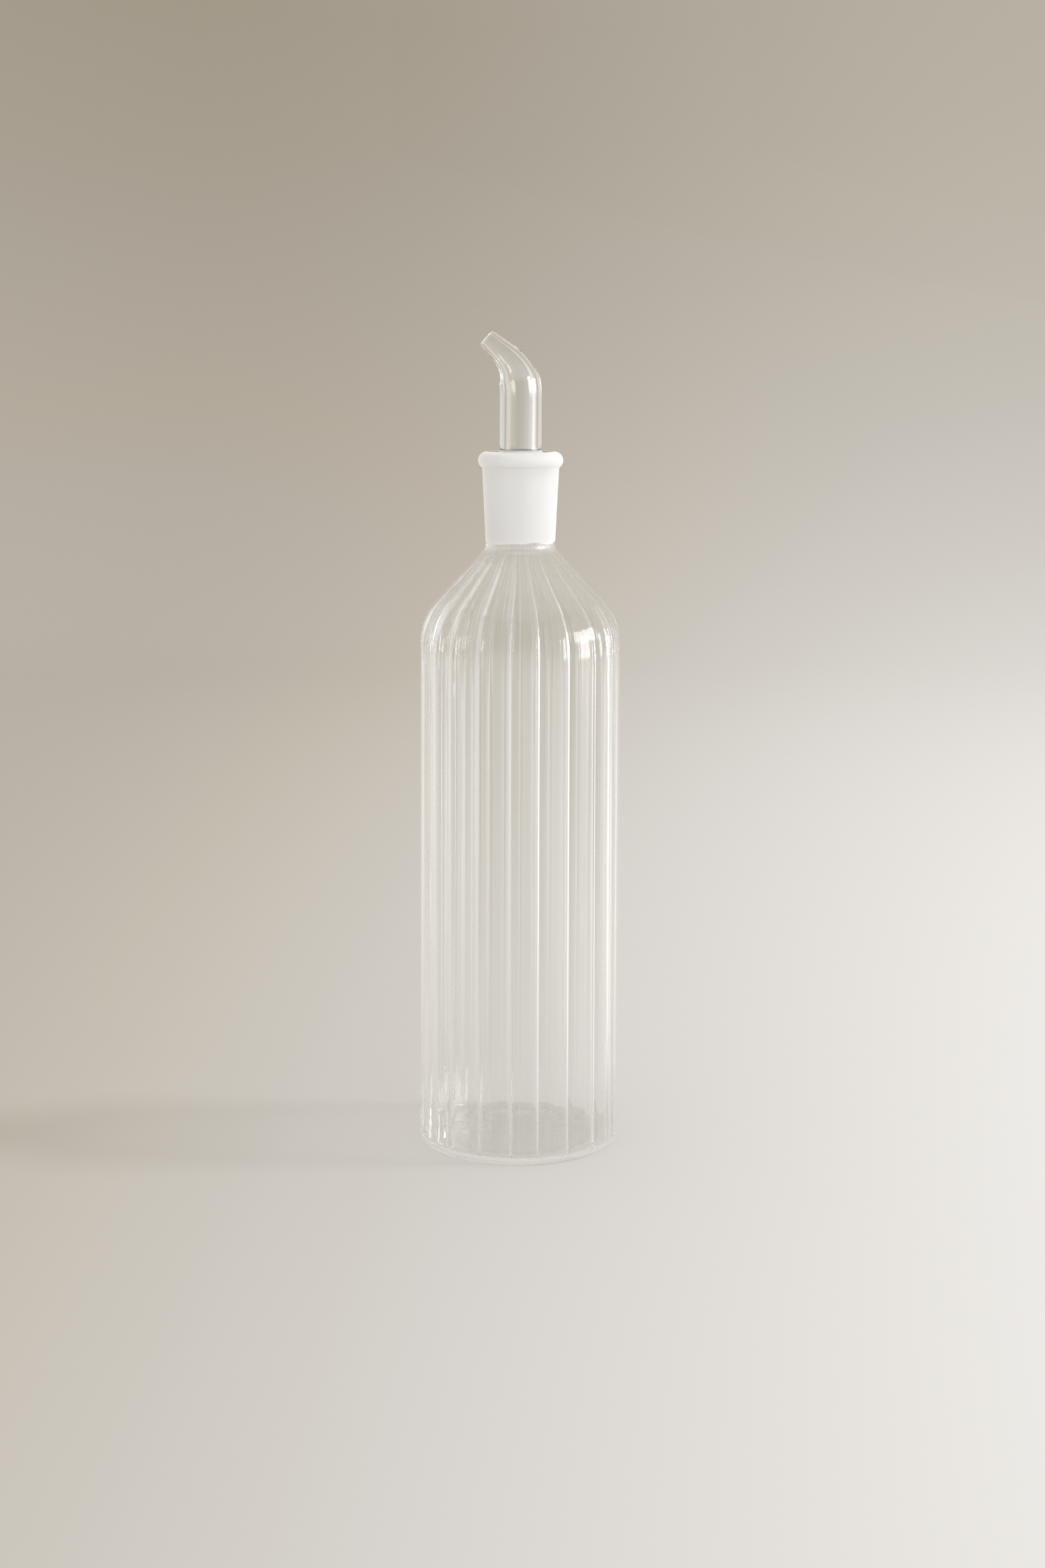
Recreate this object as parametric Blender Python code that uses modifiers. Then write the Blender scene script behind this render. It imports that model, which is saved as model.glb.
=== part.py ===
"""A glass cruet: a ribbed bottle with a ground neck, and a pourer that lifts out of it.

Metres, +Z up. The origin lies on the resting plane, on the bottle's axis. The spout points to -X.
"""

import math

import bmesh
import bpy

# Gaps between pieces
MELT_GAP = 0.0003
GROUND_GAP = 0.0003

# The body, from its foot up to the melted joint with the neck
BODY_DIAMETER = 0.0600
BODY_WALL = 0.0016
WALL_HEIGHT = 0.1515
SHOULDER_RADIUS = 0.0175
SHOULDER_SLOPE = math.radians(47)
NECK_FILLET_RADIUS = 0.0030
HEEL_RADIUS = 0.0025
INNER_HEEL_RADIUS = 0.0014
BASE_THICKNESS = 0.0020
FOOT_RING_WIDTH = 0.0060
PUNT_DEPTH = 0.0008

# The ribs that stand inward from the wall: ridges whose flanks hollow out towards the wall
RIB_COUNT = 19
RIB_HEIGHT = 0.00045
RIB_REACH = 0.0030
RIB_FLANK_POWER = 5
RIB_TURN = math.radians(-1.6)
RIB_FADE_LENGTH = 0.0100

# The ground neck. A standard ground joint narrows 1 in 10 on its diameter
GROUND_SLOPE_SHARE = 0.05
MOUTH_DIAMETER = 0.0188
NECK_LENGTH = 0.0274
NECK_WALL = 0.0024
BEAD_RADIUS = 0.0026
BEAD_OVERHANG = 0.0010
BEAD_FLANK = math.radians(50)
MOUTH_ROUND_RADIUS = 0.0005

# The pourer's ground cone
CONE_LENGTH = 0.0260
CONE_DROP = 0.0004
CONE_WALL = 0.0019
CONE_ROOF = 0.0026
CONE_EDGE_RADIUS = 0.0005
CONE_DOME_RADIUS = 0.0022

# The spout, a thick tube that is bent and drawn down to its tip
SPOUT_DIAMETER = 0.0126
SPOUT_BORE = 0.0062
SPOUT_RISE = 0.0191
BEND_RADIUS = 0.0136
BEND_ANGLE = math.radians(47.5)
TIP_RUN = 0.0082
TIP_DIAMETER = 0.0056
TIP_BORE = 0.0030
TAPER_START = 0.0026
TAPER_EARLY_SHARE = 0.5

# Fineness of the curved surfaces
BODY_STEPS = 80
STEPS_PER_RIB = 8
CREST_CROWDING = 2
NECK_STEPS = 48
SHOULDER_STEPS = 6
SLOPE_STEPS = 3
FILLET_STEPS = 3
HEEL_STEPS = 4
PUNT_STEPS = 3
BEAD_STEPS = 7
EDGE_STEPS = 2
DOME_STEPS = 3
SPOUT_SIDE_STEPS = 10
BORE_SIDE_STEPS = 6
BEND_STEPS = 10
TIP_STEPS = 4
MERGE_DISTANCE = 0.00001
CUT_OVERRUN = 0.0020
SHARP_ANGLE = math.radians(35)

# Places and sizes that follow from the named ones
WALL_RADIUS = BODY_DIAMETER / 2
CAVITY_RADIUS = WALL_RADIUS - BODY_WALL
MOUTH_RADIUS = MOUTH_DIAMETER / 2
LOWER_BORE_RADIUS = MOUTH_RADIUS - GROUND_SLOPE_SHARE * NECK_LENGTH
NECK_FOOT_RADIUS = LOWER_BORE_RADIUS + NECK_WALL
TURN_ANGLE = math.pi / 2 - SHOULDER_SLOPE
SHOULDER_CENTRE = (WALL_RADIUS - SHOULDER_RADIUS, WALL_HEIGHT)


def weld_height():
    """Height where the shoulder, drawn in along its slope, reaches the neck."""
    turned_in = SHOULDER_CENTRE[0] + SHOULDER_RADIUS * math.cos(TURN_ANGLE)
    turned_up = SHOULDER_CENTRE[1] + SHOULDER_RADIUS * math.sin(TURN_ANGLE)
    fillet_foot = NECK_FOOT_RADIUS + NECK_FILLET_RADIUS * (1 - math.cos(TURN_ANGLE))
    climb = (turned_in - fillet_foot) * math.tan(SHOULDER_SLOPE)
    return turned_up + climb + NECK_FILLET_RADIUS * math.sin(TURN_ANGLE)


WELD_HEIGHT = weld_height()
FILLET_CENTRE = (NECK_FOOT_RADIUS + NECK_FILLET_RADIUS, WELD_HEIGHT)
NECK_FOOT = WELD_HEIGHT + MELT_GAP
RIM_HEIGHT = NECK_FOOT + NECK_LENGTH
CONE_TOP = RIM_HEIGHT - CONE_DROP
CONE_FOOT = CONE_TOP - CONE_LENGTH
SPOUT_FOOT = CONE_TOP + MELT_GAP
BEND_START = SPOUT_FOOT + SPOUT_RISE


def clear_scene():
    for old in list(bpy.data.objects):
        bpy.data.objects.remove(old, do_unlink=True)


def new_collection(name):
    group = bpy.data.collections.new(name)
    bpy.context.scene.collection.children.link(group)
    return group


def glass(name, color, roughness):
    """Glass that is clear where roughness is low and white where it is ground."""
    material = bpy.data.materials.new(name)
    material.use_nodes = True
    shader = material.node_tree.nodes["Principled BSDF"]
    shader.inputs["Base Color"].default_value = (*color, 1.0)
    shader.inputs["Roughness"].default_value = roughness
    shader.inputs["Metallic"].default_value = 0.0
    shader.inputs["IOR"].default_value = 1.47
    shader.inputs["Transmission Weight"].default_value = 1.0
    return material


def arc(centre, radius, start, end, steps):
    """Points (radius, height) on an arc round a centre, both its ends included."""
    points = []
    for i in range(steps + 1):
        angle = start + (end - start) * i / steps
        across = centre[0] + radius * math.cos(angle)
        points.append((across, centre[1] + radius * math.sin(angle)))
    return points


def mesh_of(item, name):
    """The mesh of an object as its modifiers and bevels leave it. The object is removed."""
    view = bpy.context.evaluated_depsgraph_get()
    mesh = bpy.data.meshes.new_from_object(item.evaluated_get(view))
    mesh.name = name
    bpy.data.objects.remove(item, do_unlink=True)
    return mesh


def turned(name, profile, steps, closed):
    """Mesh of a profile of (radius, height) points turned about Z."""
    outline = bpy.data.meshes.new(name)
    shape = bmesh.new()
    points = [shape.verts.new((across, 0, up)) for across, up in profile]
    for first, second in zip(points, points[1:]):
        shape.edges.new((first, second))
    if closed:
        shape.edges.new((points[-1], points[0]))
    shape.to_mesh(outline)
    shape.free()
    blank = bpy.data.objects.new(name, outline)
    bpy.context.scene.collection.objects.link(blank)
    turn = blank.modifiers.new("Turn", 'SCREW')
    turn.steps = steps
    turn.render_steps = steps
    turn.use_merge_vertices = True
    turn.merge_threshold = MERGE_DISTANCE
    return mesh_of(blank, name)


def add_part(name, mesh, group, material):
    """One sub-part, shaded smooth but for its real edges."""
    mesh.shade_smooth()
    mesh.set_sharp_from_angle(angle=SHARP_ANGLE)
    mesh.materials.clear()
    mesh.materials.append(material)
    part = bpy.data.objects.new(name, mesh)
    group.objects.link(part)
    return part


def add_cutter(name, mesh, group):
    cutter = bpy.data.objects.new(name, mesh)
    cutter.hide_render = True
    cutter.display_type = 'WIRE'
    group.objects.link(cutter)
    return cutter


def cut(part, cutter):
    hollow = part.modifiers.new("Hollow", 'BOOLEAN')
    hollow.operation = 'DIFFERENCE'
    hollow.solver = 'EXACT'
    hollow.object = cutter


def punt(edge, height):
    """The shallow dome in the bottle's base, from its edge to the axis."""
    points = []
    for i in range(1, PUNT_STEPS + 1):
        share = 1 - i / PUNT_STEPS
        points.append((share * edge, height + PUNT_DEPTH * (1 - share * share)))
    return points


def body_outside():
    """The outside of the body, from the middle of its melted end down to the middle of its base."""
    heel_centre = (WALL_RADIUS - HEEL_RADIUS, HEEL_RADIUS)
    foot = heel_centre[0] - FOOT_RING_WIDTH
    return [
        (0, WELD_HEIGHT),
        *arc(FILLET_CENTRE, NECK_FILLET_RADIUS, math.pi, math.pi + TURN_ANGLE, FILLET_STEPS),
        *arc(SHOULDER_CENTRE, SHOULDER_RADIUS, TURN_ANGLE, 0, SHOULDER_STEPS),
        *arc(heel_centre, HEEL_RADIUS, 0, -math.pi / 2, HEEL_STEPS),
        (foot, 0),
        *punt(foot, 0),
    ]


def between(start, end, steps):
    """Points on a straight line, its two ends left out."""
    points = []
    for i in range(1, steps):
        share = i / steps
        across = start[0] + share * (end[0] - start[0])
        points.append((across, start[1] + share * (end[1] - start[1])))
    return points


def cavity_outline():
    """The inside of the body, from above its mouth down to the middle of its floor."""
    throat_radius = FILLET_CENTRE[0] - LOWER_BORE_RADIUS
    throat = arc(FILLET_CENTRE, throat_radius, math.pi, math.pi + TURN_ANGLE, FILLET_STEPS)
    turn_radius = SHOULDER_RADIUS - BODY_WALL
    turn = arc(SHOULDER_CENTRE, turn_radius, TURN_ANGLE, 0, SHOULDER_STEPS)
    floor = CAVITY_RADIUS - INNER_HEEL_RADIUS
    heel_centre = (floor, BASE_THICKNESS + INNER_HEEL_RADIUS)
    return [
        (0, WELD_HEIGHT + CUT_OVERRUN),
        (LOWER_BORE_RADIUS, WELD_HEIGHT + CUT_OVERRUN),
        *throat,
        *between(throat[-1], turn[0], SLOPE_STEPS),
        *turn,
        *arc(heel_centre, INNER_HEEL_RADIUS, 0, -math.pi / 2, HEEL_STEPS),
        *punt(floor, BASE_THICKNESS),
    ]


def rib_height_at(across, up):
    """Height of a rib's crest at a place on the smooth inside of the body."""
    drawn_in = min(across / CAVITY_RADIUS, 1)
    below_weld = min(max((WELD_HEIGHT - up) / RIB_FADE_LENGTH, 0), 1)
    into_heel = (BASE_THICKNESS + INNER_HEEL_RADIUS - up) / INNER_HEEL_RADIUS
    into_heel = min(max(into_heel, 0), 1)
    above_floor = math.sqrt(1 - into_heel * into_heel)
    return RIB_HEIGHT * drawn_in * below_weld * above_floor


def off_crest(angle):
    """Angle from the nearest rib's crest."""
    pitch = 2 * math.pi / RIB_COUNT
    return (angle + pitch / 2) % pitch - pitch / 2


def crowded(angle):
    """Angle of a point that is moved towards the nearest crest, where the ridge is sharp."""
    off = off_crest(angle)
    half_pitch = math.pi / RIB_COUNT
    share = abs(off) / half_pitch
    return angle - off + math.copysign(half_pitch * share ** CREST_CROWDING, off)


def rib_share_at(angle):
    """How much of a rib's height stands at an angle: all at its crest, none past its reach."""
    along_wall = abs(off_crest(angle)) * CAVITY_RADIUS
    return max(1 - along_wall / RIB_REACH, 0) ** RIB_FLANK_POWER


def press_ribs(mesh):
    """Draws the ribs in from the smooth inside of the body."""
    for point in mesh.vertices:
        across = math.hypot(point.co.x, point.co.y)
        if across < MERGE_DISTANCE:
            continue
        angle = crowded(math.atan2(point.co.y, point.co.x))
        left = across - rib_height_at(across, point.co.z) * rib_share_at(angle)
        point.co.x = left * math.cos(angle)
        point.co.y = left * math.sin(angle)


def ribbed_body(group, cutters):
    blank = turned("ribbed_body", body_outside(), BODY_STEPS, closed=False)
    clear = glass("clear body glass", (0.97, 0.98, 0.97), 0.02)
    body = add_part("ribbed_body", blank, group, clear)
    cavity = turned("body_cavity", cavity_outline(), RIB_COUNT * STEPS_PER_RIB, closed=False)
    press_ribs(cavity)
    cutter = add_cutter("body_cavity", cavity, cutters)
    cutter.rotation_euler.z = RIB_TURN
    cut(body, cutter)


def neck_socket(group):
    """The ground socket: its bore tapers, its outside follows it, and its rim is a rolled bead."""
    neck_top_radius = MOUTH_RADIUS + NECK_WALL
    bead_centre = (neck_top_radius + BEAD_OVERHANG - BEAD_RADIUS, RIM_HEIGHT - BEAD_RADIUS)
    bead = arc(bead_centre, BEAD_RADIUS, math.pi / 2, -BEAD_FLANK, BEAD_STEPS)
    flank_top = bead[-1]
    neck_at_flank = neck_top_radius - GROUND_SLOPE_SHARE * (RIM_HEIGHT - flank_top[1])
    spread = flank_top[0] - neck_at_flank
    drop = spread / (math.tan(BEAD_FLANK) - GROUND_SLOPE_SHARE)
    flank_foot = (flank_top[0] - drop * math.tan(BEAD_FLANK), flank_top[1] - drop)
    round_centre = (MOUTH_RADIUS + MOUTH_ROUND_RADIUS, RIM_HEIGHT - MOUTH_ROUND_RADIUS)
    profile = [
        *bead,
        flank_foot,
        (NECK_FOOT_RADIUS, NECK_FOOT),
        (LOWER_BORE_RADIUS, NECK_FOOT),
        *arc(round_centre, MOUTH_ROUND_RADIUS, math.pi, math.pi / 2, EDGE_STEPS),
    ]
    mesh = turned("neck_socket", profile, NECK_STEPS, closed=True)
    ground = glass("ground neck glass", (0.93, 0.93, 0.92), 0.5)
    add_part("neck_socket", mesh, group, ground)


def pourer_cone(group):
    """The hollow ground cone. Its roof is open in the middle, where the spout's bore goes on."""
    bore_radius = SPOUT_BORE / 2
    top_radius = MOUTH_RADIUS - GROUND_SLOPE_SHARE * CONE_DROP - GROUND_GAP
    foot_radius = top_radius - GROUND_SLOPE_SHARE * CONE_LENGTH
    roof_under = CONE_TOP - CONE_ROOF
    inner_foot = foot_radius - CONE_WALL
    inner_top = inner_foot + GROUND_SLOPE_SHARE * (CONE_LENGTH - CONE_ROOF)
    dome_radius = min(CONE_DOME_RADIUS, (inner_top - bore_radius) / 2)
    top_edge_centre = (top_radius - CONE_EDGE_RADIUS, CONE_TOP - CONE_EDGE_RADIUS)
    foot_edge_centre = (foot_radius - CONE_EDGE_RADIUS, CONE_FOOT + CONE_EDGE_RADIUS)
    dome_centre = (inner_top - dome_radius, roof_under - dome_radius)
    profile = [
        (bore_radius, CONE_TOP),
        *arc(top_edge_centre, CONE_EDGE_RADIUS, math.pi / 2, 0, EDGE_STEPS),
        *arc(foot_edge_centre, CONE_EDGE_RADIUS, 0, -math.pi / 2, EDGE_STEPS),
        (inner_foot, CONE_FOOT),
        *arc(dome_centre, dome_radius, 0, math.pi / 2, DOME_STEPS),
        (bore_radius, roof_under),
    ]
    mesh = turned("pourer_cone", profile, NECK_STEPS, closed=True)
    ground = glass("ground cone glass", (0.93, 0.93, 0.92), 0.5)
    add_part("pourer_cone", mesh, group, ground)


def spout_route(overrun):
    """Points (place, distance past the start of the bend) up the spout's middle, towards -X."""
    rise = SPOUT_RISE + overrun
    route = [((0, 0, BEND_START - rise), -rise)]
    for i in range(BEND_STEPS + 1):
        angle = BEND_ANGLE * i / BEND_STEPS
        over = BEND_RADIUS * (1 - math.cos(angle))
        up = BEND_START + BEND_RADIUS * math.sin(angle)
        route.append(((-over, 0, up), BEND_RADIUS * angle))
    for i in range(1, TIP_STEPS + 1):
        run = (TIP_RUN + overrun) * i / TIP_STEPS
        place = (-over - run * math.sin(BEND_ANGLE), 0, up + run * math.cos(BEND_ANGLE))
        route.append((place, BEND_RADIUS * BEND_ANGLE + run))
    return route


def drawn_radius(gone, full, tip):
    """Radius of the drawn tube at a distance from the start of its bend."""
    length = BEND_RADIUS * BEND_ANGLE + TIP_RUN - TAPER_START
    share = min(max((gone - TAPER_START) / length, 0), 1)
    drawn = share + TAPER_EARLY_SHARE * share * (1 - share)
    return full + (tip - full) * drawn


def tube(name, route, full, tip, side_steps):
    """Closed mesh of a round tube along a route, drawn from its full radius to its tip's."""
    curve = bpy.data.curves.new(name, 'CURVE')
    curve.dimensions = '3D'
    curve.bevel_depth = full
    curve.bevel_resolution = side_steps
    curve.use_fill_caps = True
    spline = curve.splines.new('POLY')
    spline.points.add(len(route) - 1)
    for point, (place, gone) in zip(spline.points, route):
        point.co = (*place, 1)
        point.radius = drawn_radius(gone, full, tip) / full
    blank = bpy.data.objects.new(name, curve)
    bpy.context.scene.collection.objects.link(blank)
    mesh = mesh_of(blank, name)
    shape = bmesh.new()
    shape.from_mesh(mesh)
    bmesh.ops.remove_doubles(shape, verts=shape.verts, dist=MERGE_DISTANCE)
    shape.to_mesh(mesh)
    shape.free()
    return mesh


def spout_tube(group, cutters):
    outside = tube("spout_tube", spout_route(0), SPOUT_DIAMETER / 2, TIP_DIAMETER / 2,
                   SPOUT_SIDE_STEPS)
    clear = glass("clear spout glass", (0.97, 0.98, 0.97), 0.02)
    spout = add_part("spout_tube", outside, group, clear)
    bore = tube("spout_bore", spout_route(CUT_OVERRUN), SPOUT_BORE / 2, TIP_BORE / 2,
                BORE_SIDE_STEPS)
    cut(spout, add_cutter("spout_bore", bore, cutters))


def add_pourer_lift(group):
    """The pourer's parent, on the axis along which it lifts out of the neck."""
    lift = bpy.data.objects.new("pourer_lift", None)
    lift.empty_display_size = MOUTH_RADIUS
    group.objects.link(lift)
    for name in ("pourer_cone", "spout_tube"):
        bpy.data.objects[name].parent = lift


def build():
    clear_scene()
    cruet = new_collection("glass_cruet")
    cutters = new_collection("cutters")
    ribbed_body(cruet, cutters)
    neck_socket(cruet)
    pourer_cone(cruet)
    spout_tube(cruet, cutters)
    add_pourer_lift(cruet)


build()
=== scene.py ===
"""Looks of the glass cruet: two seamless pieces of glass on a pale, softly lit stage."""

import math
import random

import bmesh
import bpy
from mathutils import Matrix, Vector


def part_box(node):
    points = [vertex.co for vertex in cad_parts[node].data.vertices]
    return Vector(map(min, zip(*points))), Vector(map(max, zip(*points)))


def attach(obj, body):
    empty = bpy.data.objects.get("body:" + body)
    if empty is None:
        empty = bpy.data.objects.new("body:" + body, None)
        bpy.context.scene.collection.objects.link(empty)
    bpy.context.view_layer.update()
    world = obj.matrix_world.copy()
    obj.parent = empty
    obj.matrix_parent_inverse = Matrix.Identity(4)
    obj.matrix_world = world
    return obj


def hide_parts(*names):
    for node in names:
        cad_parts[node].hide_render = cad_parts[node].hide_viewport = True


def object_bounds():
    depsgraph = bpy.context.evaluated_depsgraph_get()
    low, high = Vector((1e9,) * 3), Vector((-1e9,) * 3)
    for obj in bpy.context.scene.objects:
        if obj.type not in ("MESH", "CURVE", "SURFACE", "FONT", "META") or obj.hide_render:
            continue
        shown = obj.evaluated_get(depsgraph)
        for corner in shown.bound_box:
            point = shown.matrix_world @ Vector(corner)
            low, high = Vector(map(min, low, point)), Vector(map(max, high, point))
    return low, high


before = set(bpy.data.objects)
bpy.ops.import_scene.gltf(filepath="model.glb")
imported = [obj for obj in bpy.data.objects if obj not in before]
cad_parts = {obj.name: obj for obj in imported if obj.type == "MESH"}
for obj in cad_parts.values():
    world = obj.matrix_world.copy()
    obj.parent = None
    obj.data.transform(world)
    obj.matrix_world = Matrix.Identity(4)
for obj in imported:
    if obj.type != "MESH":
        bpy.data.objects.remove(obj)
cad_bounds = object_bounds()

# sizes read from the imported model
body_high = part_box("ribbed_body")[1]
neck_low, neck_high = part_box("neck_socket")
cone_low, cone_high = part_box("pourer_cone")
spout_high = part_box("spout_tube")[1]

BODY_RADIUS = body_high.x
WELD_HEIGHT = body_high.z
NECK_FOOT = neck_low.z
RIM_HEIGHT = neck_high.z
CONE_FOOT = cone_low.z
CONE_TOP = cone_high.z
SPOUT_RADIUS = spout_high.x

# sizes of the body, in metres as all sizes here
WALL = 0.0016
WALL_HEIGHT = 0.1515
SHOULDER_RADIUS = 0.0175
SHOULDER_SLOPE = math.radians(47)
NECK_FILLET = 0.0030
HEEL = 0.0014
INNER_HEEL = 0.0011
BASE_THICKNESS = 0.0020
FOOT_RING_WIDTH = 0.0060
PUNT = 0.0008

# The inside starts to turn in this far below the outside, at first in a slow curve.
EARLY_TURN = 0.0070
EARLY_RADIUS = 0.0500
EARLY_LENGTH = 0.0080

# The section of a rib is a sharp form and a wide one, each a power of the nearness to the crest.
RIB_COUNT = 19
RIB_HEIGHT = 0.00100
RIB_REACH = 0.0035
RIB_CREST = 0.00003
RIB_SHARP_POWER = 10
RIB_WIDE_POWER = 2.5
RIB_WIDE_SHARE = 0.6
RIB_TURN = math.radians(-1.6)
RIB_FADE = 0.0100
HEEL_HOLD = 4

# hand work: ribs out of place and uneven, streaks up the wall, and swells low on it
RIB_STRAY = math.radians(0.8)
RIB_UNEVEN = 0.10
STREAK_DEPTH = 0.000004
SWELL_DEPTH = 0.00015
SWELL_REACH = 0.0090
SWELL_LEAN = 6.0

# The ribs that the photograph shows in front are this far off their even places.
FIRST_FRONT_RIB = 11
FRONT_RIB_DEGREES = (2.6, -0.8, 0.1, 1.3, -0.8, -0.7, 0.8, 1.8)

# sizes of the ground joint, the neck and its rolled rim
GROUND_SLOPE = 0.05
GROUND_GAP = 0.00006
MOUTH_RADIUS = 0.0094
MOUTH_ROUND = 0.0005
NECK_WALL = 0.0024
BEAD_RADIUS = 0.0026
BEAD_OVERHANG = 0.0010
BEAD_FLANK = math.radians(50)

# sizes of the pourer's cone
CONE_WALL = 0.0019
CONE_ROOF = 0.0026
CONE_EDGE = 0.0005
CONE_DOME = 0.0022
THROAT_ROUND = 0.0008

# sizes of the spout, which rises straight, bends and is drawn down to its tip
SPOUT_BORE = 0.0035
BORE_OFF = 0.0001
SPOUT_RISE = 0.0191
SPOUT_FILLET = 0.0009
BEND_RADIUS = 0.0136
BEND_ANGLE = math.radians(47.5)
BEND_EASE = 0.0028
TIP_RUN = 0.0082
TIP_RADIUS = 0.0028
TIP_BORE = 0.0016
TAPER_START = 0.0026
TAPER_EARLY = 0.5

# steps of the meshes
FLANK_STEPS = 9
GAP_STEPS = 10
POURER_STEPS = 120
EDGE_STEPS = 5
RISE_STEPS = 8
BEND_STEPS = 56
LIP_STEPS = 12
BEND_PIECES = 400

# order of the materials on each piece
CLEAR, GROUND, SATIN = 0, 1, 2

TURN = math.pi / 2 - SHOULDER_SLOPE
CAVITY_RADIUS = BODY_RADIUS - WALL
LOWER_BORE = MOUTH_RADIUS - GROUND_SLOPE * (RIM_HEIGHT - NECK_FOOT)
NECK_FOOT_RADIUS = LOWER_BORE + NECK_WALL
SHOULDER_CENTRE = (BODY_RADIUS - SHOULDER_RADIUS, WALL_HEIGHT)
FILLET_CENTRE = (NECK_FOOT_RADIUS + NECK_FILLET, WELD_HEIGHT)
RIB_PITCH = math.tau / RIB_COUNT

chance = random.Random(7)


# profiles, as (radius, height) points
def arc(centre, radius, start, end, steps):
    points = []
    for i in range(steps + 1):
        angle = start + (end - start) * i / steps
        points.append((centre[0] + radius * math.cos(angle), centre[1] + radius * math.sin(angle)))
    return points


def between(start, end, steps):
    """Points on a straight line, its two ends left out."""
    return [
        tuple(a + (b - a) * i / steps for a, b in zip(start, end))
        for i in range(1, steps)
    ]


def punt(edge, height, steps):
    """Points from the edge of a shallow dome to its middle, both left out."""
    points = []
    for i in range(1, steps):
        share = 1 - i / steps
        points.append((share * edge, height + PUNT * (1 - share * share)))
    return points


def outer_profile():
    """From the middle of the base out, up the wall and over the rim."""
    heel_centre = (BODY_RADIUS - HEEL, HEEL)
    foot = heel_centre[0] - FOOT_RING_WIDTH
    heel = arc(heel_centre, HEEL, -math.pi / 2, 0, steps=10)
    turn = arc(SHOULDER_CENTRE, SHOULDER_RADIUS, 0, TURN, steps=18)
    fillet = arc(FILLET_CENTRE, NECK_FILLET, math.pi + TURN, math.pi, steps=8)
    neck_top = MOUTH_RADIUS + NECK_WALL
    bead_centre = (neck_top + BEAD_OVERHANG - BEAD_RADIUS, RIM_HEIGHT - BEAD_RADIUS)
    bead = arc(bead_centre, BEAD_RADIUS, -BEAD_FLANK, math.pi / 2, steps=16)
    neck_at_flank = neck_top - GROUND_SLOPE * (RIM_HEIGHT - bead[0][1])
    spread = bead[0][0] - neck_at_flank
    drop = spread / (math.tan(BEAD_FLANK) - GROUND_SLOPE)
    flank_foot = (bead[0][0] - drop * math.tan(BEAD_FLANK), bead[0][1] - drop)
    neck_foot = (NECK_FOOT_RADIUS, NECK_FOOT)
    return [
        *reversed(punt(foot, 0, steps=8)),
        (foot, 0),
        (foot + FOOT_RING_WIDTH / 2, 0),
        *heel,
        *between(heel[-1], turn[0], steps=5),
        *turn,
        *between(turn[-1], fillet[0], steps=4),
        *fillet,
        neck_foot,
        *between(neck_foot, flank_foot, steps=5),
        flank_foot,
        *bead,
    ]


def early_turn():
    """The inside of the shoulder's turn, from the cone down to the wall.

    It leaves the wall in a slow curve well below the outer turn, so the glass is thicker there.
    """
    start = WALL_HEIGHT - EARLY_TURN
    slow_angle = EARLY_LENGTH / EARLY_RADIUS
    slow = arc((CAVITY_RADIUS - EARLY_RADIUS, start), EARLY_RADIUS, 0, slow_angle, steps=6)
    corner = WALL_HEIGHT + (SHOULDER_RADIUS - WALL) * math.tan(TURN / 2) - slow[-1][1]
    inward = CAVITY_RADIUS - slow[-1][0]
    slow_lean, cone_lean = math.tan(slow_angle), math.tan(TURN)
    up = (corner * cone_lean - inward) / (cone_lean - slow_lean)
    radius = up / math.cos(slow_angle) / math.tan((TURN - slow_angle) / 2)
    centre = (slow[-1][0] - radius * math.cos(slow_angle), slow[-1][1] - radius * math.sin(slow_angle))
    return arc(centre, radius, TURN, slow_angle, steps=12) + slow[-2::-1]


def inner_profile():
    """From the rim down the ground bore, then down the clear inside to the middle of the floor."""
    round_centre = (MOUTH_RADIUS + MOUTH_ROUND, RIM_HEIGHT - MOUTH_ROUND)
    rim = arc(round_centre, MOUTH_ROUND, math.pi / 2, math.pi, steps=5)
    bore_foot = (LOWER_BORE, NECK_FOOT)
    throat = arc(FILLET_CENTRE, FILLET_CENTRE[0] - LOWER_BORE, math.pi, math.pi + TURN, steps=8)
    turn = early_turn()
    floor = CAVITY_RADIUS - INNER_HEEL
    heel = arc((floor, BASE_THICKNESS + INNER_HEEL), INNER_HEEL, 0, -math.pi / 2, steps=12)
    ground = [*rim, *between(rim[-1], bore_foot, steps=10), bore_foot, *throat]
    clear = [
        *between(throat[-1], turn[0], steps=6),
        *turn,
        *between(turn[-1], heel[0], steps=8),
        *heel,
        *punt(floor, BASE_THICKNESS, steps=10),
    ]
    return ground, clear


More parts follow.
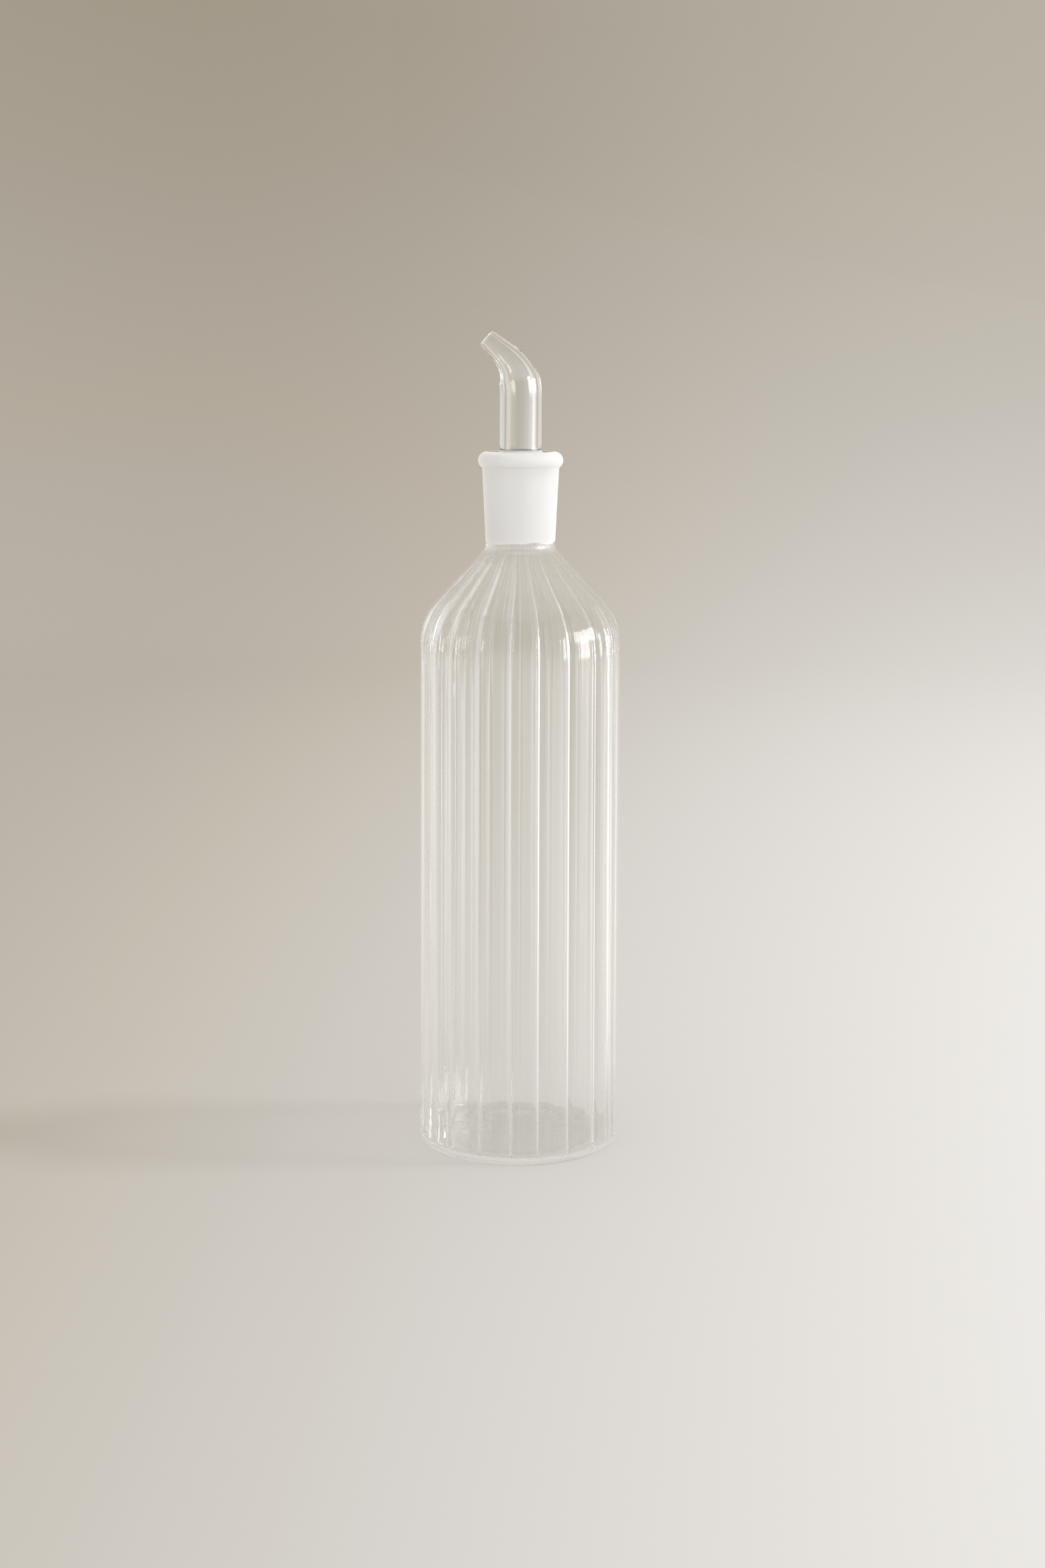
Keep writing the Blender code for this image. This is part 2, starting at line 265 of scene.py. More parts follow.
def cone_profiles():
    """From the cone's top edge down its outside, then up its inside, and the root of the spout."""
    length = CONE_TOP - CONE_FOOT
    under = CONE_TOP - CONE_ROOF
    top_radius = MOUTH_RADIUS - GROUND_SLOPE * (RIM_HEIGHT - CONE_TOP) - GROUND_GAP
    foot_radius = top_radius - GROUND_SLOPE * length
    inner_foot = foot_radius - CONE_WALL
    inner_top = inner_foot + GROUND_SLOPE * (length - CONE_ROOF)

    def edge(across, up, start, end):
        return arc((across, up), CONE_EDGE, start, end, EDGE_STEPS)

    quarter = math.pi / 2
    top_edge = edge(top_radius - CONE_EDGE, CONE_TOP - CONE_EDGE, quarter, 0)
    foot_edge = edge(foot_radius - CONE_EDGE, CONE_FOOT + CONE_EDGE, 0, -quarter)
    inner_edge = edge(inner_foot + CONE_EDGE, CONE_FOOT + CONE_EDGE, -quarter, -math.pi)
    dome = arc((inner_top - CONE_DOME, under - CONE_DOME), CONE_DOME, 0, quarter, steps=10)
    throat_centre = (SPOUT_BORE + THROAT_ROUND, under + THROAT_ROUND)
    throat = arc(throat_centre, THROAT_ROUND, -quarter, -math.pi, steps=5)
    root_centre = (SPOUT_RADIUS + SPOUT_FILLET, CONE_TOP + SPOUT_FILLET)
    root = arc(root_centre, SPOUT_FILLET, math.pi, 3 * quarter, steps=6)
    outside = [*top_edge, *between(top_edge[-1], foot_edge[0], steps=20), *foot_edge]
    inside = [*inner_edge, *between(inner_edge[-1], dome[0], steps=16), *dome, *throat]
    return outside, inside, root


# ribs and the marks of hand work
rib_turns = [chance.uniform(-1, 1) * RIB_STRAY for _ in range(RIB_COUNT)]
for index, degrees in enumerate(FRONT_RIB_DEGREES, FIRST_FRONT_RIB):
    rib_turns[index] = math.radians(degrees)
rib_sizes = [1 + chance.uniform(-RIB_UNEVEN, RIB_UNEVEN) for _ in range(RIB_COUNT)]


def waves(count, least, most, weakest):
    """Random waves round the bottle, as (crests, turn, size)."""
    return [
        (chance.randint(least, most), chance.uniform(0, math.tau), chance.uniform(weakest, 1))
        for _ in range(count)
    ]


streaks = waves(count=9, least=23, most=90, weakest=0.4)
swells = waves(count=7, least=6, most=40, weakest=0.3)


def wave_sum(group, angle):
    return sum(size * math.sin(crests * angle + turn) for crests, turn, size in group)


def swell_at(angle, up):
    """Uneven thickness of the glass low on the inside of the wall."""
    near_floor = max(1 - (up - BASE_THICKNESS) / SWELL_REACH, 0)
    return SWELL_DEPTH * near_floor**2 * wave_sum(swells, angle + SWELL_LEAN * up)


def rib_height_at(across, up):
    """Full height on the wall, less where the glass draws in, at the weld and in the heel."""
    drawn_in = min(across / CAVITY_RADIUS, 1)
    below_weld = min(max((WELD_HEIGHT - up) / RIB_FADE, 0), 1)
    into_heel = min(max((BASE_THICKNESS + INNER_HEEL - up) / INNER_HEEL, 0), 1)
    above_floor = 1 - into_heel**HEEL_HOLD
    return RIB_HEIGHT * drawn_in * below_weld * above_floor


def rib_share_at(angle):
    """Section of the ribs round the bottle, about 1 at a crest and 0 between ribs."""
    index = round((angle - RIB_TURN) / RIB_PITCH)
    off = angle - RIB_TURN - index * RIB_PITCH - rib_turns[index % RIB_COUNT]
    along = math.hypot(off * CAVITY_RADIUS, RIB_CREST) - RIB_CREST
    near = max(1 - along / RIB_REACH, 0)
    share = (1 - RIB_WIDE_SHARE) * near**RIB_SHARP_POWER + RIB_WIDE_SHARE * near**RIB_WIDE_POWER
    return rib_sizes[index % RIB_COUNT] * share


def inner_push(across, up):
    """How far the inside of the bottle stands in from a plain round, by the angle."""
    height = rib_height_at(across, up)
    streak_depth = STREAK_DEPTH * height / RIB_HEIGHT
    drawn_in = min(across / CAVITY_RADIUS, 1)

    def push(angle):
        by_hand = streak_depth * wave_sum(streaks, angle) + drawn_in * swell_at(angle, up)
        return height * rib_share_at(angle) + by_hand

    return push


# the meshes
def lofted(name, rings, bands, closed):
    """Mesh through rings of equally many points. A ring of one point is a pole."""
    shape = bmesh.new()
    loops = [[shape.verts.new(point) for point in points] for points in rings]
    pairs = list(zip(loops, loops[1:]))
    if closed:
        pairs.append((loops[-1], loops[0]))
    for (low, high), material in zip(pairs, bands):
        count = max(len(low), len(high))
        for i in range(count):
            j = (i + 1) % count
            if len(low) == 1:
                corners = (low[0], high[j], high[i])
            elif len(high) == 1:
                corners = (low[i], low[j], high[0])
            else:
                corners = (low[i], low[j], high[j], high[i])
            face = shape.faces.new(corners)
            face.material_index = material
            face.smooth = True
    bmesh.ops.recalc_face_normals(shape, faces=shape.faces)
    mesh = bpy.data.meshes.new(name)
    shape.to_mesh(mesh)
    shape.free()
    return linked(name, mesh)


def linked(name, data):
    thing = bpy.data.objects.new(name, data)
    bpy.context.scene.collection.objects.link(thing)
    return thing


def even_turns(steps):
    return [math.tau * i / steps for i in range(steps)]


def body_turns():
    """Angles of the vertices round the bottle, close together on the ribs."""
    half = RIB_REACH / CAVITY_RADIUS
    flank = [half * (i / FLANK_STEPS) ** 2 for i in range(FLANK_STEPS + 1)]
    centres = [RIB_TURN + i * RIB_PITCH + turn for i, turn in enumerate(rib_turns)]
    centres.append(centres[0] + math.tau)
    turns = []
    for centre, following in zip(centres, centres[1:]):
        turns += [centre - step for step in reversed(flank[1:])]
        turns += [centre + step for step in flank[:-1]]
        gap = following - centre - 2 * half
        turns += [centre + half + gap * i / GAP_STEPS for i in range(GAP_STEPS)]
    return turns


def ring(across, up, turns, push=None):
    points = []
    for angle in turns:
        radius = across - (push(angle) if push else 0)
        points.append((radius * math.cos(angle), radius * math.sin(angle), up))
    return points


def make_bottle():
    turns = body_turns()
    outer = outer_profile()
    ground, clear = inner_profile()
    rings = [[(0, 0, PUNT)]]
    rings += [ring(across, up, turns) for across, up in [*outer, *ground]]
    rings += [ring(across, up, turns, inner_push(across, up)) for across, up in clear]
    rings.append([(0, 0, BASE_THICKNESS + PUNT)])
    below_neck = next(i for i, (_, up) in enumerate(outer) if up >= NECK_FOOT)
    bands = [CLEAR] * below_neck + [SATIN] * (len(outer) - below_neck + 1) + [GROUND] * len(ground)
    bands += [CLEAR] * (len(rings) - 1 - len(bands))
    return lofted("bottle_glass", rings, bands, closed=False)


def eased_angle(share):
    return BEND_ANGLE * share * share * (3 - 2 * share)


def heading_at(angle):
    return Vector((-math.sin(angle), 0, math.cos(angle)))


def eased_bend():
    """Places and angles along the spout's bend, its length, and how early it has to start."""
    span = BEND_RADIUS * BEND_ANGLE + 2 * BEND_EASE
    places, angles = [Vector((0, 0, 0))], [0.0]
    for i in range(BEND_PIECES):
        heading = heading_at(eased_angle((i + 0.5) / BEND_PIECES))
        places.append(places[-1] + span / BEND_PIECES * heading)
        angles.append(eased_angle((i + 1) / BEND_PIECES))
    reach = places[-1].z + places[-1].x / math.tan(BEND_ANGLE)
    return places, angles, span, reach - BEND_RADIUS * math.tan(BEND_ANGLE / 2)


BEND_PLACES, BEND_ANGLES, BEND_SPAN, BEND_EARLY = eased_bend()
SPOUT_LENGTH = BEND_SPAN + TIP_RUN - 2 * BEND_EARLY


def spout_place(gone):
    """Middle and direction of the spout at a length past the start of the plain bend."""
    start = Vector((0, 0, CONE_TOP + SPOUT_RISE - BEND_EARLY))
    gone += BEND_EARLY
    if gone <= 0:
        return start + Vector((0, 0, gone)), Vector((0, 0, 1))
    place = min(gone / BEND_SPAN, 1) * BEND_PIECES
    low = min(int(place), BEND_PIECES - 1)
    share = place - low
    heading = heading_at(BEND_ANGLES[low] * (1 - share) + BEND_ANGLES[low + 1] * share)
    middle = BEND_PLACES[low].lerp(BEND_PLACES[low + 1], share)
    return start + middle + max(gone - BEND_SPAN, 0) * heading, heading


def drawn_down(gone, full, tip):
    """Radius at a length along the spout, from full near the bend's start down to the tip's."""
    share = min(max((gone - TAPER_START) / (SPOUT_LENGTH - TAPER_START), 0), 1)
    return full + (tip - full) * (share + TAPER_EARLY * share * (1 - share))


def spout_ring(gone, radius, turns, off=0):
    place, heading = spout_place(gone)
    side = Vector((heading.z, 0, -heading.x))
    place = place + off * side
    points = []
    for angle in turns:
        points.append(place + radius * (math.cos(angle) * side + math.sin(angle) * Vector((0, 1, 0))))
    return points


def spout_rings(turns):
    """Up the bore, round the lip of the tip and down the outside."""
    lip = (TIP_RADIUS - TIP_BORE) / 2
    lip_start = SPOUT_LENGTH - lip
    bend = [(lip_start + BEND_EARLY) * i / BEND_STEPS - BEND_EARLY for i in range(BEND_STEPS + 1)]
    rings = []
    for i in range(RISE_STEPS):
        gone = -BEND_EARLY - (SPOUT_RISE - BEND_EARLY) * (1 - i / RISE_STEPS)
        rings.append(spout_ring(gone, SPOUT_BORE, turns, BORE_OFF * i / RISE_STEPS))
    for i, gone in enumerate(bend):
        off = BORE_OFF * (1 - i / BEND_STEPS)
        rings.append(spout_ring(gone, drawn_down(gone, SPOUT_BORE, TIP_BORE), turns, off))
    for i in range(1, LIP_STEPS):
        angle = math.pi * i / LIP_STEPS
        radius = TIP_BORE + lip - lip * math.cos(angle)
        rings.append(spout_ring(lip_start + lip * math.sin(angle), radius, turns))
    for gone in reversed(bend):
        rings.append(spout_ring(gone, drawn_down(gone, SPOUT_RADIUS, TIP_RADIUS), turns))
    for i in range(1, RISE_STEPS):
        gone = -BEND_EARLY - (SPOUT_RISE - SPOUT_FILLET - BEND_EARLY) * i / RISE_STEPS
        rings.append(spout_ring(gone, SPOUT_RADIUS, turns))
    return rings


def make_pourer():
    turns = even_turns(POURER_STEPS)
    outside, inside, root = cone_profiles()
    rings = [ring(across, up, turns) for across, up in [*outside, *inside]]
    rings += spout_rings(turns)
    bands = [SATIN] * EDGE_STEPS + [GROUND] * (len(outside) - 2 * EDGE_STEPS)
    bands += [CLEAR] * (len(rings) - len(bands)) + [SATIN] * len(root)
    rings += [ring(across, up, turns) for across, up in root]
    return lofted("pourer_glass", rings, bands, closed=True)


# looks of the glass
GLASS_IOR = 1.47
CLEAR_COLOUR = (0.985, 0.99, 0.985, 1)
CLEAR_TINT = 0.985
GROUND_COLOUR = (0.97, 0.975, 0.98, 1)
GROUND_TINT = 0.75

# Light that crosses the glass straight keeps these shares at the outline and high up.
OUTLINE = (0.35, 1.0)
OUTLINE_TINT = 0.8
HIGH = (0.04, 0.18)
HIGH_TINT = 0.75

# A ray caught between the faces of the wall is let out after this many reflections.
MAX_TURNS = 4

# cords drawn out up the glass, deeper on the shoulder
CORD_SCALE = 20.0
CORD_DETAIL = 2.5
CORD_STRETCH = 0.1
CORD_FOOT = (0.003, 0.010)
CORD_SHOULDER = (0.135, 0.165)
CORD_DEPTHS = (0.00005, 0.0002)

# swirls low on the wall and in the heel
SWIRL_SCALE = 160.0
SWIRL_DETAIL = 2.0
SWIRL_DEPTH = 0.0003
SWIRL_ACROSS = (0.0235, 0.0270)
SWIRL_TOP = (0.0075, 0.0030)

# the ground surface: its grain, its worn patches and its wavy lower edge
GRAIN_SCALE = 2600.0
GRAIN_DETAIL = 4.0
GRAIN_STRENGTH = 0.5
GRAIN_DEPTH = 0.00006
WEAR_SCALE = 420.0
WEAR_DETAIL = 3.0
WEAR_STRETCH = (1, 1, 0.1)
WEAR_RANGE = (0.3, 0.7)
WEAR_SPREAD = 0.03
GROUND_RISE = 0.0001
GROUND_WAVE = 0.0034
GROUND_WAVE_SCALE = 170.0
GROUND_WAVE_DETAIL = 1.0
GROUND_SOFT = 0.0004


class Nodes:
    """Short calls to make and link shader nodes."""

    def __init__(self, tree):
        self.tree = tree
        tree.nodes.clear()

    def add(self, kind, **inputs):
        node = self.tree.nodes.new(kind)
        for name, value in inputs.items():
            self.put(node.inputs[name.replace("_", " ")], value)
        return node

    def put(self, socket, value):
        if isinstance(value, bpy.types.NodeSocket):
            self.tree.links.new(value, socket)
        else:
            socket.default_value = value

    def put_all(self, sockets, values):
        for socket, value in zip(sockets, values):
            self.put(socket, value)

    def math(self, operation, *values):
        node = self.add("ShaderNodeMath")
        node.operation = operation
        self.put_all(node.inputs, values)
        return node.outputs[0]

    def product(self, first, *others):
        for other in others:
            first = self.math("MULTIPLY", first, other)
        return first

    def one_minus(self, value):
        return self.math("SUBTRACT", 1.0, value)

    def vector(self, operation, *values):
        node = self.add("ShaderNodeVectorMath")
        node.operation = operation
        self.put_all(node.inputs, values)
        return node.outputs[0]

    def spot(self):
        """The point in the object's own frame."""
        return self.add("ShaderNodeTexCoord").outputs["Object"]

    def split(self, vector):
        return self.add("ShaderNodeSeparateXYZ", Vector=vector).outputs

    def colour(self, *channels):
        node = self.add("ShaderNodeCombineColor")
        self.put_all(node.inputs, channels)
        return node.outputs[0]

    def noise(self, vector, scale, detail):
        return self.add("ShaderNodeTexNoise", Vector=vector, Scale=scale, Detail=detail).outputs["Fac"]

    def ramp_up(self, value, start, end, low=0.0, high=1.0):
        """Smooth step of a value from low at start to high at end."""
        node = self.add("ShaderNodeMapRange")
        node.interpolation_type = 'SMOOTHSTEP'
        sockets = [node.inputs[name] for name in ("Value", "From Min", "From Max", "To Min", "To Max")]
        self.put_all(sockets, (value, start, end, low, high))
        return node.outputs["Result"]

    def surface(self, shader):
        out = self.add("ShaderNodeOutputMaterial")
        self.put(out.inputs["Surface"], shader)


def new_material(name):
    material = bpy.data.materials.new(name)
    material.use_nodes = True
    return material, Nodes(material.node_tree)


def glass_surface(nodes, tint, **inputs):
    """Glass that light bound for other surfaces crosses straight, dimmed at the outline and high up.

    A ray caught between the faces of the wall leaves it undimmed after MAX_TURNS reflections.
    """
    glass = nodes.add("ShaderNodeBsdfPrincipled", IOR=GLASS_IOR, **inputs)
    path = nodes.add("ShaderNodeLightPath").outputs
    soft = nodes.math("MAXIMUM", path["Is Shadow Ray"], path["Is Diffuse Ray"])
    caught = nodes.math("GREATER_THAN", path["Glossy Depth"], MAX_TURNS - 0.5)
    facing = nodes.add("ShaderNodeLayerWeight", Blend=0.5).outputs["Facing"]
    outline = nodes.ramp_up(facing, *OUTLINE, tint, tint * OUTLINE_TINT)
    height = nodes.split(nodes.spot())["Z"]
    dim = nodes.product(outline, nodes.ramp_up(height, *HIGH, 1.0, HIGH_TINT))
    dim = nodes.math("MAXIMUM", dim, caught)
    straight = nodes.add("ShaderNodeBsdfTransparent", Color=nodes.colour(dim, dim, dim))
    mix = nodes.add("ShaderNodeMixShader")
    nodes.put_all(mix.inputs, (nodes.math("MAXIMUM", soft, caught), glass.outputs[0], straight.outputs[0]))
    nodes.surface(mix.outputs[0])


def clear_glass():
    """Clear glass with cords up its sides and swirls low on the wall."""
    material, nodes = new_material("clear cruet glass")
    spot = nodes.spot()
    x, y, height = nodes.split(spot)
    across = nodes.math("SQRT", nodes.math("MULTIPLY_ADD", x, x, nodes.product(y, y)))
    outside = nodes.math("MAXIMUM", across, SPOUT_RADIUS)
    drawn_out = nodes.add("ShaderNodeCombineXYZ")
    nodes.put_all(drawn_out.inputs, (
        nodes.math("DIVIDE", x, outside),
        nodes.math("DIVIDE", y, outside),
        nodes.product(height, CORD_STRETCH),
    ))
    cords = nodes.noise(drawn_out.outputs[0], CORD_SCALE, CORD_DETAIL)
    strength = nodes.product(nodes.ramp_up(height, *CORD_FOOT), nodes.ramp_up(height, CONE_TOP, WELD_HEIGHT))
    depth = nodes.ramp_up(height, *CORD_SHOULDER, *CORD_DEPTHS)
    corded = nodes.add("ShaderNodeBump", Strength=strength, Distance=depth, Height=cords)
    swirls = nodes.noise(spot, SWIRL_SCALE, SWIRL_DETAIL)
    at_heel = nodes.product(nodes.ramp_up(across, *SWIRL_ACROSS), nodes.ramp_up(height, *SWIRL_TOP))
    bump = nodes.add("ShaderNodeBump", Strength=at_heel, Distance=SWIRL_DEPTH, Height=swirls)
    nodes.put(bump.inputs["Normal"], corded.outputs[0])
    glass_surface(nodes, CLEAR_TINT, Base_Color=CLEAR_COLOUR, Roughness=0.0, Transmission_Weight=1.0,
                  Normal=bump.outputs[0])
    return material


def ground_glass(name, rough, clear):
    """Ground white above a soft, uneven line just over the weld, and clear below it."""
    material, nodes = new_material(name)
    spot = nodes.spot()
    height = nodes.split(spot)["Z"]
    grain = nodes.noise(spot, GRAIN_SCALE, GRAIN_DETAIL)
    bump = nodes.add("ShaderNodeBump", Strength=GRAIN_STRENGTH, Distance=GRAIN_DEPTH, Height=grain)
    waves = nodes.noise(spot, GROUND_WAVE_SCALE, GROUND_WAVE_DETAIL)
    lowest = NECK_FOOT + GROUND_RISE - GROUND_WAVE / 2
    edge = nodes.math("MULTIPLY_ADD", waves, GROUND_WAVE, lowest)
    share = nodes.ramp_up(nodes.math("SUBTRACT", height, edge), 0.0, GROUND_SOFT)
    drawn_out = nodes.add("ShaderNodeMapping", Vector=spot, Scale=WEAR_STRETCH)
    wear = nodes.noise(drawn_out.outputs[0], WEAR_SCALE, WEAR_DETAIL)
    worn = nodes.ramp_up(wear, *WEAR_RANGE, clear - WEAR_SPREAD, clear + WEAR_SPREAD)
    open_share = nodes.math("MULTIPLY_ADD", share, nodes.math("SUBTRACT", worn, 1.0), 1.0)
    glass_surface(nodes, GROUND_TINT, Base_Color=GROUND_COLOUR, Roughness=nodes.product(share, rough),
                  Transmission_Weight=open_share, Normal=bump.outputs[0])
    return material


# the stage: sizes in metres, brightness as shares of white
STAGE_RADIUS = 1.6
STAGE_CURVE = 0.45
STAGE_HEIGHT = 2.4
STAGE_STEPS = 96
FLOOR_MATT = 0.40
WALL_MATT = 0.20
MATT_SHADE = (1.01, 1.0, 0.98)
FLOOR_LIT = 0.363
WALL_LIT = 0.165

# The level that the stage shows rises to the right, and mostly falls with depth, which counts height too:
# painted light, a painted pool of the window's light on the right and painted falloff further back and up.
DEPTH_PER_HEIGHT = 1.5
DEPTH_RANGE = (-0.25, 2.45)
LEFT_LEVEL = (0.422, 0.0700, -0.0410)
RIGHT_GAIN = (0.604, -0.3807, 0.049, 0.0115)
LEFT_TO_RIGHT = (-0.35, 0.50)
FRONT = (-0.4, -1.2)
FRONT_LEVEL = 0.25
LEVEL_COLOURS = (
    (0.0, (0.02, 0.0, 0.0)),
    (0.14, (0.17, 0.14, 0.095)),
    (0.26, (0.275, 0.262, 0.247)),
    (0.6, (0.605, 0.603, 0.603)),
)
FAR = (1.2, 2.4)
FAR_LOSS = (0.02, 0.10, 0.26)

# light that only indirect rays find on the stage: a window on the right, soft sides and a glow in front
DAYLIGHT = (1.0, 0.985, 0.96)
WINDOW_SIDES = (-0.44, 0.15)
WINDOW_TOP = 0.75
WINDOW_SOFT = 0.05
WINDOW_NEAR = (0.67, 1.37)
WINDOW_LEAST_X = 0.1
WINDOW_STEP = (0.20, 0.34)
WINDOW_LOW = 1.0
WINDOW_GLOW = 9.0
ROUGH_WINDOW = 0.1
ROUGH_GLOW = 1.2
LEFT_SIDE = (-0.3, -0.7)
LEFT_GLOW = 0.2
RIGHT_SIDE = (0.4, 0.7)
RIGHT_GLOW = 0.25
BEFORE = (-0.6, -1.3)
BEFORE_TOP = (0.14, 0.04)
BEFORE_GLOW = 0.5
ROOM_GLOW = 0.15

# the lamp and the world
ROOM_COLOUR = (1.0, 0.99, 0.97, 1)
SUN_STRENGTH = 0.8
SUN_RISE = math.radians(50)
SUN_WIDTH = math.radians(8)


class Rays:
    """Kinds of rays that meet the stage, each a socket that gives 1 for its kind and 0 for others."""

    def __init__(self, nodes):
        path = nodes.add("ShaderNodeLightPath").outputs
        glossy, through = path["Is Glossy Ray"], path["Is Transmission Ray"]
        self.diffuse = path["Is Diffuse Ray"]
        self.mirrored = nodes.math("MAXIMUM", nodes.math("SUBTRACT", glossy, through), 0.0)
        self.by_glass = nodes.math("MAXIMUM", glossy, through)
        self.rough = nodes.one_minus(path["Is Singular Ray"])
        # a sharp ray that nothing has mirrored yet comes straight through the glass
        unmirrored = nodes.math("LESS_THAN", path["Glossy Depth"], 0.5)
        straight = nodes.product(path["Is Singular Ray"], unmirrored)
        self.not_straight = nodes.one_minus(straight)


def curve(nodes, value, factors):
    """A polynomial of the value, its constant factor first."""
    total = factors[-1]
    for factor in reversed(factors[:-1]):
        total = nodes.math("MULTIPLY_ADD", total, value, factor)
    return total


def stage_depth(nodes, y, z):
    least, most = DEPTH_RANGE
    depth = nodes.math("MULTIPLY_ADD", z, DEPTH_PER_HEIGHT, y)
    return nodes.math("MINIMUM", nodes.math("MAXIMUM", depth, least), most)


def painted_level(nodes, rays, place, depth):
    """What the stage has to glow by itself, beside the light that falls on it."""
    x, y, z = place
    left = curve(nodes, depth, LEFT_LEVEL)
    gain = curve(nodes, depth, RIGHT_GAIN)
    # painted light: the stage glows brighter to the right, as if the window there lit it
    level = nodes.math("MULTIPLY_ADD", nodes.ramp_up(x, *LEFT_TO_RIGHT), gain, left)
    lit = nodes.ramp_up(z, 0.0, STAGE_CURVE, FLOOR_LIT, WALL_LIT)
    front = nodes.ramp_up(y, *FRONT, 0.0, FRONT_LEVEL)
    front = nodes.product(front, nodes.math("MAXIMUM", rays.mirrored, rays.diffuse))
    return nodes.math("ADD", nodes.math("SUBTRACT", level, lit), front)


def painted_colour(nodes, level, depth):
    """Colour for a painted level, warmer far away."""
    shades = nodes.add("ShaderNodeValToRGB", Fac=level)
    stops = shades.color_ramp.elements
    while len(stops) < len(LEVEL_COLOURS):
        stops.new(0.5)
    for stop, (position, shade) in zip(stops, LEVEL_COLOURS):
        stop.position = position
        stop.color = (*shade, 1)
    warmth = nodes.ramp_up(depth, *FAR)
    parts = nodes.add("ShaderNodeSeparateColor", Color=shades.outputs[0]).outputs
    return nodes.colour(*(
        nodes.product(part, nodes.math("MULTIPLY_ADD", warmth, -loss, 1.0))
        for part, loss in zip(parts, FAR_LOSS)
    ))


def window_light(nodes, rays, place):
    """The window that the glass mirrors, soft at its edges and weak on rough glass, plus an even painted
    glow that only rough glass sees, which brightens the ground glass.
    """
    x, y, z = place
    turn = nodes.math("DIVIDE", y, nodes.math("MAXIMUM", x, WINDOW_LEAST_X))
    front_side, back_side = WINDOW_SIDES
    window = nodes.product(
        nodes.ramp_up(z, *WINDOW_STEP, WINDOW_LOW, WINDOW_GLOW),
        nodes.ramp_up(z, WINDOW_TOP + WINDOW_SOFT, WINDOW_TOP - WINDOW_SOFT),
        nodes.ramp_up(x, *WINDOW_NEAR),
        nodes.ramp_up(turn, front_side - WINDOW_SOFT, front_side + WINDOW_SOFT),
        nodes.ramp_up(turn, back_side + WINDOW_SOFT, back_side - WINDOW_SOFT),
        rays.not_straight,
        nodes.math("MULTIPLY_ADD", rays.rough, ROUGH_WINDOW - 1.0, 1.0),
    )
    return nodes.math("MULTIPLY_ADD", rays.rough, ROUGH_GLOW, window)


def unseen_light(nodes, rays, spot, place):
    """Brightness of the light that the camera doesn't see on the stage itself."""
    _, y, z = place
    middle = (0, 0, cad_bounds[1][2] / 2)
    facing = nodes.vector("NORMALIZE", nodes.vector("SUBTRACT", spot, middle))
    rightward = nodes.split(facing)["X"]
    right_side = nodes.product(nodes.ramp_up(rightward, *RIGHT_SIDE), rays.not_straight)
    left_side = nodes.ramp_up(rightward, *LEFT_SIDE)
    bright = nodes.math("MULTIPLY_ADD", right_side, RIGHT_GLOW, window_light(nodes, rays, place))
    bright = nodes.math("MULTIPLY_ADD", left_side, LEFT_GLOW, bright)
    bright = nodes.product(bright, rays.by_glass)
    before = nodes.product(nodes.ramp_up(y, *BEFORE, 0.0, BEFORE_GLOW), nodes.ramp_up(z, *BEFORE_TOP))
    bright = nodes.math("MULTIPLY_ADD", before, rays.mirrored, bright)
    return nodes.math("MULTIPLY_ADD", rays.diffuse, ROOM_GLOW, bright)


def stage_material():
    """Matt paint, plus a glow that sets the backdrop's level, plus the light that only glass shows."""
    material, nodes = new_material("pale backdrop")
    rays = Rays(nodes)
    spot = nodes.add("ShaderNodeNewGeometry").outputs["Position"]
    place = nodes.split(spot)
    _, y, z = place
    depth = stage_depth(nodes, y, z)
    painted = painted_colour(nodes, painted_level(nodes, rays, place, depth), depth)
    albedo = nodes.ramp_up(z, 0.0, STAGE_CURVE, FLOOR_MATT, WALL_MATT)
    shade = nodes.colour(*(nodes.product(albedo, share) for share in MATT_SHADE))
    total = nodes.add("ShaderNodeBsdfDiffuse", Color=shade).outputs[0]
    for colour, strength in ((painted, 1.0), ((*DAYLIGHT, 1), unseen_light(nodes, rays, spot, place))):
        glow = nodes.add("ShaderNodeEmission", Color=colour, Strength=strength)
        both = nodes.add("ShaderNodeAddShader")
        nodes.put_all(both.inputs, (total, glow.outputs[0]))
        total = both.outputs[0]
    nodes.surface(total)
    return material


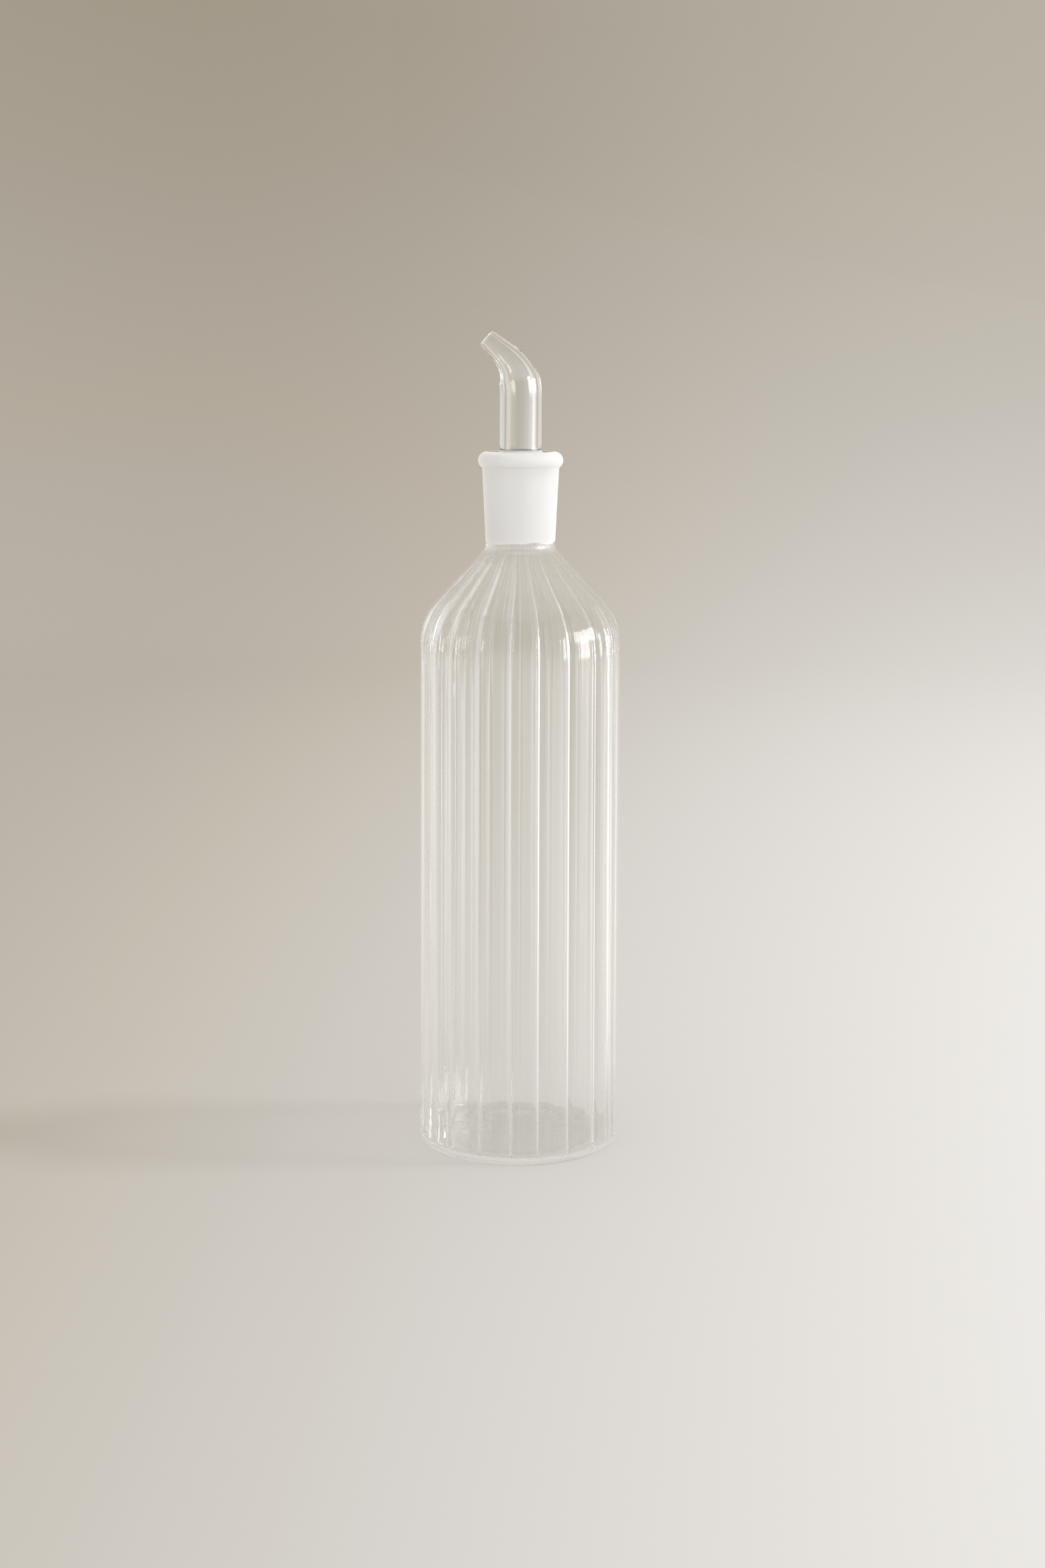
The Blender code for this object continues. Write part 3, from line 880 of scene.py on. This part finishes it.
def make_stage():
    """A round floor that sweeps up into a wall all round."""
    bend = (STAGE_RADIUS - STAGE_CURVE, STAGE_CURVE)
    profile = between((0, 0), (bend[0], 0), steps=12)
    profile += arc(bend, STAGE_CURVE, -math.pi / 2, 0, steps=16)
    profile.append((STAGE_RADIUS, STAGE_HEIGHT))
    rings = [[(0, 0, 0)]] + [ring(across, up, even_turns(STAGE_STEPS)) for across, up in profile]
    stage = lofted("stage", rings, [0] * len(rings), closed=False)
    stage.data.materials.append(stage_material())
    stage.visible_shadow = False


def light_the_stage():
    lamp = bpy.data.lights.new("window light", 'SUN')
    lamp.energy = SUN_STRENGTH
    lamp.angle = SUN_WIDTH
    lamp.color = DAYLIGHT
    sun = linked("window light", lamp)
    away = Vector((-math.cos(SUN_RISE), 0, -math.sin(SUN_RISE)))
    sun.rotation_mode = 'QUATERNION'
    sun.rotation_quaternion = away.to_track_quat('-Z', 'Y')
    sun.visible_glossy = False
    sun.visible_transmission = False
    world = bpy.data.worlds.new("soft room")
    bpy.context.scene.world = world
    world.use_nodes = True
    back = world.node_tree.nodes["Background"]
    back.inputs["Color"].default_value = ROOM_COLOUR
    back.inputs["Strength"].default_value = 1.0


# the camera, which looks down a little
CAMERA_PLACE = (0.0006, -0.7027, 0.2311)
CAMERA_DOWN = math.radians(3.09)
CAMERA_LEAN = math.radians(0.17)
LENS = 53.73
LENS_SHIFT = -0.18
SENSOR = 36


def make_camera():
    data = bpy.data.cameras.new("camera")
    data.lens = LENS
    data.sensor_fit = 'AUTO'
    data.sensor_width = SENSOR
    data.shift_y = LENS_SHIFT
    data.clip_start = 0.01
    data.clip_end = 20
    camera = linked("camera", data)
    camera.location = CAMERA_PLACE
    tilt = Matrix.Rotation(math.pi / 2 - CAMERA_DOWN, 3, 'X')
    lean = Matrix.Rotation(CAMERA_LEAN, 3, 'Z')
    camera.rotation_euler = (tilt @ lean).to_euler()
    bpy.context.scene.camera = camera


make_camera()
make_stage()
light_the_stage()

bottle = make_bottle()
pourer = make_pourer()
clear = clear_glass()
ground = ground_glass("ground cruet glass", rough=0.6, clear=0.5)
satin = ground_glass("satin cruet glass", rough=0.45, clear=0.2)
for piece in (bottle, pourer):
    for glass in (clear, ground, satin):
        piece.data.materials.append(glass)
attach(bottle, "bottle")
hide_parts("ribbed_body", "neck_socket")
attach(pourer, "pourer")
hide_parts("pourer_cone", "spout_tube")

scene = bpy.context.scene
scene.view_settings.view_transform = 'Standard'
